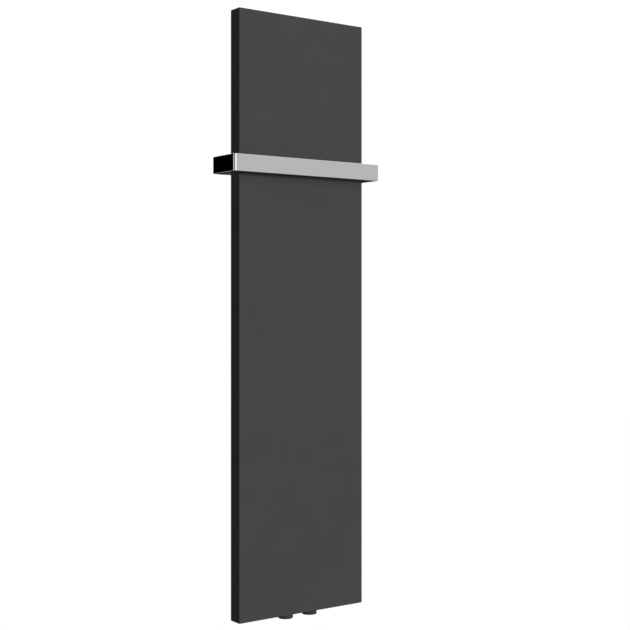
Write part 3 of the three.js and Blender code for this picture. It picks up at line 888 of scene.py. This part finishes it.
def hanging_lug(node, quarter):
    """The hat, with a keyhole whose slot sits on the hanger's neck."""
    low, high = box(node)
    centre = (low + high) / 2
    bm = prism([hat_outline(high.x - low.x, high.y - low.y)], low.z, high.z)
    lug = workpiece(placed(bm, AXIS_UP, (centre.x, low.y, 0)), "lug")
    hang = middle(f"hanger_{quarter}")
    shoulder = math.degrees(math.asin(NECK_SLOT / KEYHOLE))  # where the slot enters the round hole
    keyhole = (
        arc(0, 0, NECK_SLOT, 180, 360, 14)
        + arc(0, LIFT, KEYHOLE, shoulder - 90, 270 - shoulder, 30)
    )
    cutter = prism([keyhole], -2 * LUG_SHEET, 2 * LUG_SHEET)
    cut(lug, placed(cutter, AXIS_IN, (hang.x, high.y - LUG_SHEET / 2, hang.z)), "keyhole")
    return finished(lug)


def hanger(node):
    """Head, neck, collar and stem; local z is the depth from the head's face."""
    low, high = box(node)
    centre = (low + high) / 2
    head, neck, collar, stem = 10 * MM, 4.7 * MM, 13 * MM, 9 * MM
    neck_from, collar_from, stem_from = 4 * MM, 7.6 * MM, 11.6 * MM
    length = high.y - low.y
    outline = [
        (0, 0),
        (head - 1.4 * MM, 0),
        (head - 0.4 * MM, 0.4 * MM),
        (head, 1.2 * MM),
        (head, neck_from - 0.4 * MM),
        (head - 0.4 * MM, neck_from),
        (neck + 0.2 * MM, neck_from),
        (neck, neck_from + 0.3 * MM),
        (neck, collar_from - 0.2 * MM),
        (neck + 0.2 * MM, collar_from),
        (collar - 0.6 * MM, collar_from),
        (collar, collar_from + 0.6 * MM),
        (collar, stem_from - 0.6 * MM),
        (collar - 0.6 * MM, stem_from),
        (stem, stem_from),
        (stem, length - 1 * MM),
        (stem - 1 * MM, length),
        (0, length),
    ]
    return placed(turned(outline, 64), AXIS_IN, (centre.x, low.y, centre.z))


def bracket_base(node, quarter):
    """The wall cup with its lock screw's threaded hole; local z is the depth from its mouth."""
    low, high = box(node)
    hang = middle(f"hanger_{quarter}")
    depth = high.y - low.y
    cup_radius, bore, screw_hole, plug_recess = 18 * MM, 9.3 * MM, 3.4 * MM, 6.5 * MM
    cup_floor, groove = depth - 6 * MM, cup_radius - 0.6 * MM
    outline = [
        (screw_hole, cup_floor),
        (bore, cup_floor),
        (bore, 0.6 * MM),
        (bore + 0.6 * MM, 0),
        (cup_radius - 1.4 * MM, 0),
        (cup_radius - 0.4 * MM, 0.4 * MM),
        (cup_radius, 1.4 * MM),
        (cup_radius, depth - 3 * MM),
        (groove, depth - 2.6 * MM),
        (groove, depth - 1.8 * MM),
        (cup_radius, depth - 1.4 * MM),
        (cup_radius, depth),
        (plug_recess, depth),
        (plug_recess, depth - 1 * MM),
        (screw_hole, depth - 1 * MM),
    ]
    cup = workpiece(placed(turned(outline, 72), AXIS_IN, (hang.x, low.y, hang.z)), "base")
    screw = middle(f"lock_screw_{quarter}")
    turn = AXIS_RIGHT if screw.x > hang.x else AXIS_LEFT
    lock_hole = prism([circle(LOCK_HOLE, steps=24)], 0, 24 * MM)
    cut(cup, placed(lock_hole, turn, (hang.x, screw.y, screw.z)), "lock_hole")
    return finished(cup)


def lock_screw(node, quarter):
    """A headless screw; local z goes from its point to its hexagon socket."""
    low, high = box(node)
    centre = (low + high) / 2
    length = high.x - low.x
    turn = AXIS_RIGHT if centre.x > middle(f"hanger_{quarter}").x else AXIS_LEFT
    socket = 1.25 * MM
    outline = [
        (0, 0.4 * MM),
        (1.2 * MM, 0),
        (1.7 * MM, 0),
        *threaded(LOCK_SCREW, 0.3 * MM, 0.8 * MM, length - 0.3 * MM, 0.8 * MM),
        (LOCK_SCREW - 0.5 * MM, length),
        (socket + 0.25 * MM, length),
        (socket, length - 0.25 * MM, 6),
        (socket, length - 2.4 * MM, 6),
        (0, length - 3 * MM),
    ]
    origin = centre - turn @ Vector((0, 0, length / 2))
    return placed(turned(outline, 48), turn, origin)


def wall_screw(node):
    """A round head with a hexagon socket on a coarse wood thread; local z goes into the wall."""
    low, high = box(node)
    centre = (low + high) / 2
    length = high.y - low.y
    head, socket, shank, thread = 6 * MM, 1.5 * MM, 2.6 * MM, 2.9 * MM
    head_depth, point = 4 * MM, 6 * MM
    outline = [
        (0, 1.6 * MM),
        (socket, 2 * MM, 6),
        (socket, 0.2 * MM, 6),
        (socket + 0.4 * MM, 0),
        (head - 2 * MM, 0),
        (head - 0.6 * MM, 1 * MM),
        (head, 2.2 * MM),
        (head, head_depth - 0.2 * MM),
        (head - 0.2 * MM, head_depth),
        (shank, head_depth),
        *threaded(thread, 0.7 * MM, head_depth + 2 * MM, length - point, 2.6 * MM),
        (0, length),
    ]
    return placed(turned(outline, 40), AXIS_IN, (centre.x, low.y, centre.z))


def wall_plug(node):
    """A ribbed nylon plug."""
    low, high = box(node)
    centre = (low + high) / 2
    length = high.y - low.y
    outer, valley, bore, barb, barbs = 5 * MM, 4.2 * MM, 3.2 * MM, 5.5 * MM, 7
    outline = [
        (bore, 0.3 * MM),
        (bore + 0.3 * MM, 0),
        (outer - 0.2 * MM, 0),
        (outer, 0.3 * MM),
        (outer, 4 * MM),
    ]
    for step in range(barbs):
        start = 5 * MM + step * barb
        outline += [
            (valley, start),
            (valley + 0.1 * MM, start + 0.8 * MM),
            (outer, start + barb - 0.6 * MM),
        ]
    outline += [(4.1 * MM, length - 5 * MM), (4 * MM, length), (bore, length)]
    return placed(turned(outline, 40), AXIS_IN, (centre.x, low.y, centre.z))


for quarter in QUARTERS:
    piece(f"hanging_lug_{quarter}", hanging_lug(f"hanging_lug_{quarter}", quarter), edge=0.3 * MM)
    piece(f"hanger_{quarter}", hanger(f"hanger_{quarter}"))
    piece(f"bracket_base_{quarter}", bracket_base(f"bracket_base_{quarter}", quarter))
    piece(f"lock_screw_{quarter}", lock_screw(f"lock_screw_{quarter}", quarter))
    piece(f"wall_screw_{quarter}", wall_screw(f"wall_screw_{quarter}"))
    piece(f"wall_plug_{quarter}", wall_plug(f"wall_plug_{quarter}"))

# ------------------------------------------------------------------ floor, light and camera
FLOOR_DROP = 150 * MM  # the radiator hangs this far above the floor
FLOOR_RADIUS = 9.0
FLOOR_THICKNESS = 20 * MM
AZIMUTH = 35.52  # the camera stands this far round to the left of straight in front
STAND_OFF = Vector((-1.9071, -3.0519, 0.9343))  # camera from the panel's lower left front corner
FOCAL_LENGTH = 70.386
SENSOR_WIDTH = 36
HORIZON_RISE = 0.01773  # the horizon's height above the frame's middle, as a share of its width
FARTHEST_SEEN = 50

# Brightness of the studio as (degrees to the right of the panel's own facing direction,
# brightness), in bands. The chrome reflects the wall; the lamps stand above it, and the floor's
# two bands are seen only in shiny surfaces.
NEAR_FLOOR = (
    (-180, 0.75), (-150, 0.2), (-110, 0.2), (-70, 0.70), (0, 0.75), (60, 0.6), (110, 0.30),
    (150, 0.7), (180, 0.75),
)
FAR_FLOOR = (
    (-180, 0.60), (-162, 0.12), (-105, 0.12), (-70, 0.50), (-20, 0.45), (10, 0.25), (60, 0.28),
    (90, 0.65), (115, 0.5), (130, 0.15), (158, 0.15), (180, 0.60),
)
SKIRTING = (
    (-180, 0.25), (-165, 0.10), (-60, 0.10), (-20, 0.45), (60, 0.50), (100, 0.40), (120, 0.10),
    (165, 0.10), (180, 0.25),
)
WALL = (
    (-180, 0.3), (-172, 0.0), (-132, 0.0), (-122, 0.70), (-96, 0.70), (-86, 0.12), (-54, 0.12),
    (-44, 1.15), (10, 1.15), (18, 0.58), (70, 0.58), (100, 0.5), (130, 0.2), (150, 0.1), (180, 0.3),
)
LAMPS = (
    (-180, 0.6), (-150, 0.0), (-60, 0.0), (-20, 0.5), (0, 0.9), (60, 0.9), (110, 1.5), (150, 2.5),
    (180, 0.6),
)
CEILING = (
    (-180, 0.9), (-150, 0.35), (-110, 0.05), (-60, 0.05), (-20, 0.5), (20, 0.8), (90, 0.9),
    (130, 1.6), (180, 0.9),
)
# Heights on the unit sphere between which one band turns into the next.
FAR_FLOOR_FROM = (-0.50, -0.36)
SKIRTING_FROM = (-0.24, -0.17)
WALL_FROM = (-0.01, 0.0)
LAMPS_FROM = (0.14, 0.18)
CEILING_FROM = (0.45, 0.60)
FLOOR_COLOUR = 0.10
BACKDROP_BRIGHTNESS = 1.05
KEY_AZIMUTH = 20  # degrees to the right of straight in front
KEY_ELEVATION = 8
KEY_SPREAD = 16  # degrees across
KEY_STRENGTH = 1.68
BACK_AZIMUTH = 130
BACK_ELEVATION = 34
BACK_SPREAD = 18
BACK_STRENGTH = 2.3


def white_to_camera(nodes, links, others, kind, brightness):
    """A shader that is plain white to the camera and the given one to every other ray."""
    white = nodes.new(kind)
    white.inputs["Color"].default_value = (1, 1, 1, 1)
    white.inputs["Strength"].default_value = brightness
    mix = nodes.new("ShaderNodeMixShader")
    links.new(nodes.new("ShaderNodeLightPath").outputs["Is Camera Ray"], mix.inputs[0])
    links.new(others, mix.inputs[1])
    links.new(white.outputs[0], mix.inputs[2])
    return mix.outputs[0]


def floor():
    """A pale floor; it lights the object only weakly, as a floor outside the lamps' reach."""
    outline = [(0, 0), (FLOOR_RADIUS / 2, 0), (FLOOR_RADIUS, 0), (0, -FLOOR_THICKNESS)]
    bm = turned(outline, 64)
    obj = workpiece(bm, "floor")
    obj.location = (0, 0, PANEL_LOW.z - FLOOR_DROP)
    material, nodes, links, shader = new_material("floor")
    shader.inputs["Base Color"].default_value = (FLOOR_COLOUR, FLOOR_COLOUR, FLOOR_COLOUR, 1)
    shader.inputs["Roughness"].default_value = 0.9
    shader.inputs["Specular IOR Level"].default_value = 0.0
    surface = white_to_camera(nodes, links, shader.outputs[0], "ShaderNodeEmission", 1.0)
    links.new(surface, nodes["Material Output"].inputs["Surface"])
    obj.data.materials.append(material)
    obj.visible_glossy = False


def brightness_round(nodes, links, share, stops):
    """A background that is as bright in each direction round the object as the stops say."""
    brightest = max(value for _, value in stops)
    node = nodes.new("ShaderNodeValToRGB")
    ramp = node.color_ramp
    ramp.elements.remove(ramp.elements[1])
    for index, (degrees, value) in enumerate(stops):
        place = (degrees + 180) / 360
        stop = ramp.elements.new(place) if index else ramp.elements[0]
        stop.position = place
        stop.color = (value / brightest,) * 3 + (1,)
    links.new(share, node.inputs["Fac"])
    background = nodes.new("ShaderNodeBackground")
    background.inputs["Strength"].default_value = brightest
    links.new(node.outputs["Color"], background.inputs["Color"])
    return background.outputs[0]


def direction(nodes, links):
    """Where a ray goes: its share of the way round, from behind by the left, and its height."""
    split = nodes.new("ShaderNodeSeparateXYZ")
    links.new(nodes.new("ShaderNodeTexCoord").outputs["Generated"], split.inputs["Vector"])
    ahead = nodes.new("ShaderNodeMath")
    ahead.operation = "MULTIPLY"
    ahead.inputs[1].default_value = -1
    links.new(split.outputs["Y"], ahead.inputs[0])
    angle = nodes.new("ShaderNodeMath")
    angle.operation = "ARCTAN2"
    links.new(split.outputs["X"], angle.inputs[0])
    links.new(ahead.outputs[0], angle.inputs[1])
    share = ranged(nodes, links, angle.outputs[0], 0, 1, start=-math.pi, end=math.pi)
    return share, split.outputs["Z"]


def studio():
    """Bands of light and dark round the object, from the floor up, and a white backdrop."""
    world = bpy.data.worlds.new("studio")
    bpy.context.scene.world = world
    world.use_nodes = True
    nodes, links = world.node_tree.nodes, world.node_tree.links
    nodes.clear()
    share, height = direction(nodes, links)
    room = brightness_round(nodes, links, share, NEAR_FLOOR)
    bands = (
        (FAR_FLOOR, FAR_FLOOR_FROM), (SKIRTING, SKIRTING_FROM), (WALL, WALL_FROM),
        (LAMPS, LAMPS_FROM), (CEILING, CEILING_FROM),
    )
    for stops, (start, end) in bands:
        upward = nodes.new("ShaderNodeMapRange")
        upward.interpolation_type = "SMOOTHSTEP"
        upward.inputs["From Min"].default_value = start
        upward.inputs["From Max"].default_value = end
        links.new(height, upward.inputs["Value"])
        mix = nodes.new("ShaderNodeMixShader")
        links.new(upward.outputs["Result"], mix.inputs[0])
        links.new(room, mix.inputs[1])
        links.new(brightness_round(nodes, links, share, stops), mix.inputs[2])
        room = mix.outputs[0]
    seen = white_to_camera(nodes, links, room, "ShaderNodeBackground", BACKDROP_BRIGHTNESS)
    links.new(seen, nodes.new("ShaderNodeOutputWorld").inputs["Surface"])


def distant_lamp(name, strength, spread, azimuth, elevation):
    """A distant soft box, which the chrome doesn't show."""
    data = bpy.data.lights.new(name, "SUN")
    data.energy = strength
    data.angle = math.radians(spread)
    obj = bpy.data.objects.new(name, data)
    obj.rotation_euler = (math.radians(90 - elevation), 0, math.radians(azimuth))
    obj.visible_glossy = False
    bpy.context.scene.collection.objects.link(obj)


def camera():
    """Stands to the left at about the panel's middle height and looks level."""
    data = bpy.data.cameras.new("camera")
    data.lens = FOCAL_LENGTH
    data.sensor_width = SENSOR_WIDTH
    data.shift_y = -HORIZON_RISE
    data.clip_end = FARTHEST_SEEN
    obj = bpy.data.objects.new("camera", data)
    obj.location = PANEL_LOW + STAND_OFF
    obj.rotation_euler = (math.radians(90), 0, math.radians(-AZIMUTH))
    bpy.context.scene.collection.objects.link(obj)
    bpy.context.scene.camera = obj


floor()
studio()
distant_lamp("key_light", KEY_STRENGTH, KEY_SPREAD, KEY_AZIMUTH, KEY_ELEVATION)
distant_lamp("back_light", BACK_STRENGTH, BACK_SPREAD, BACK_AZIMUTH, BACK_ELEVATION)
camera()
bpy.context.scene.view_settings.view_transform = "Standard"
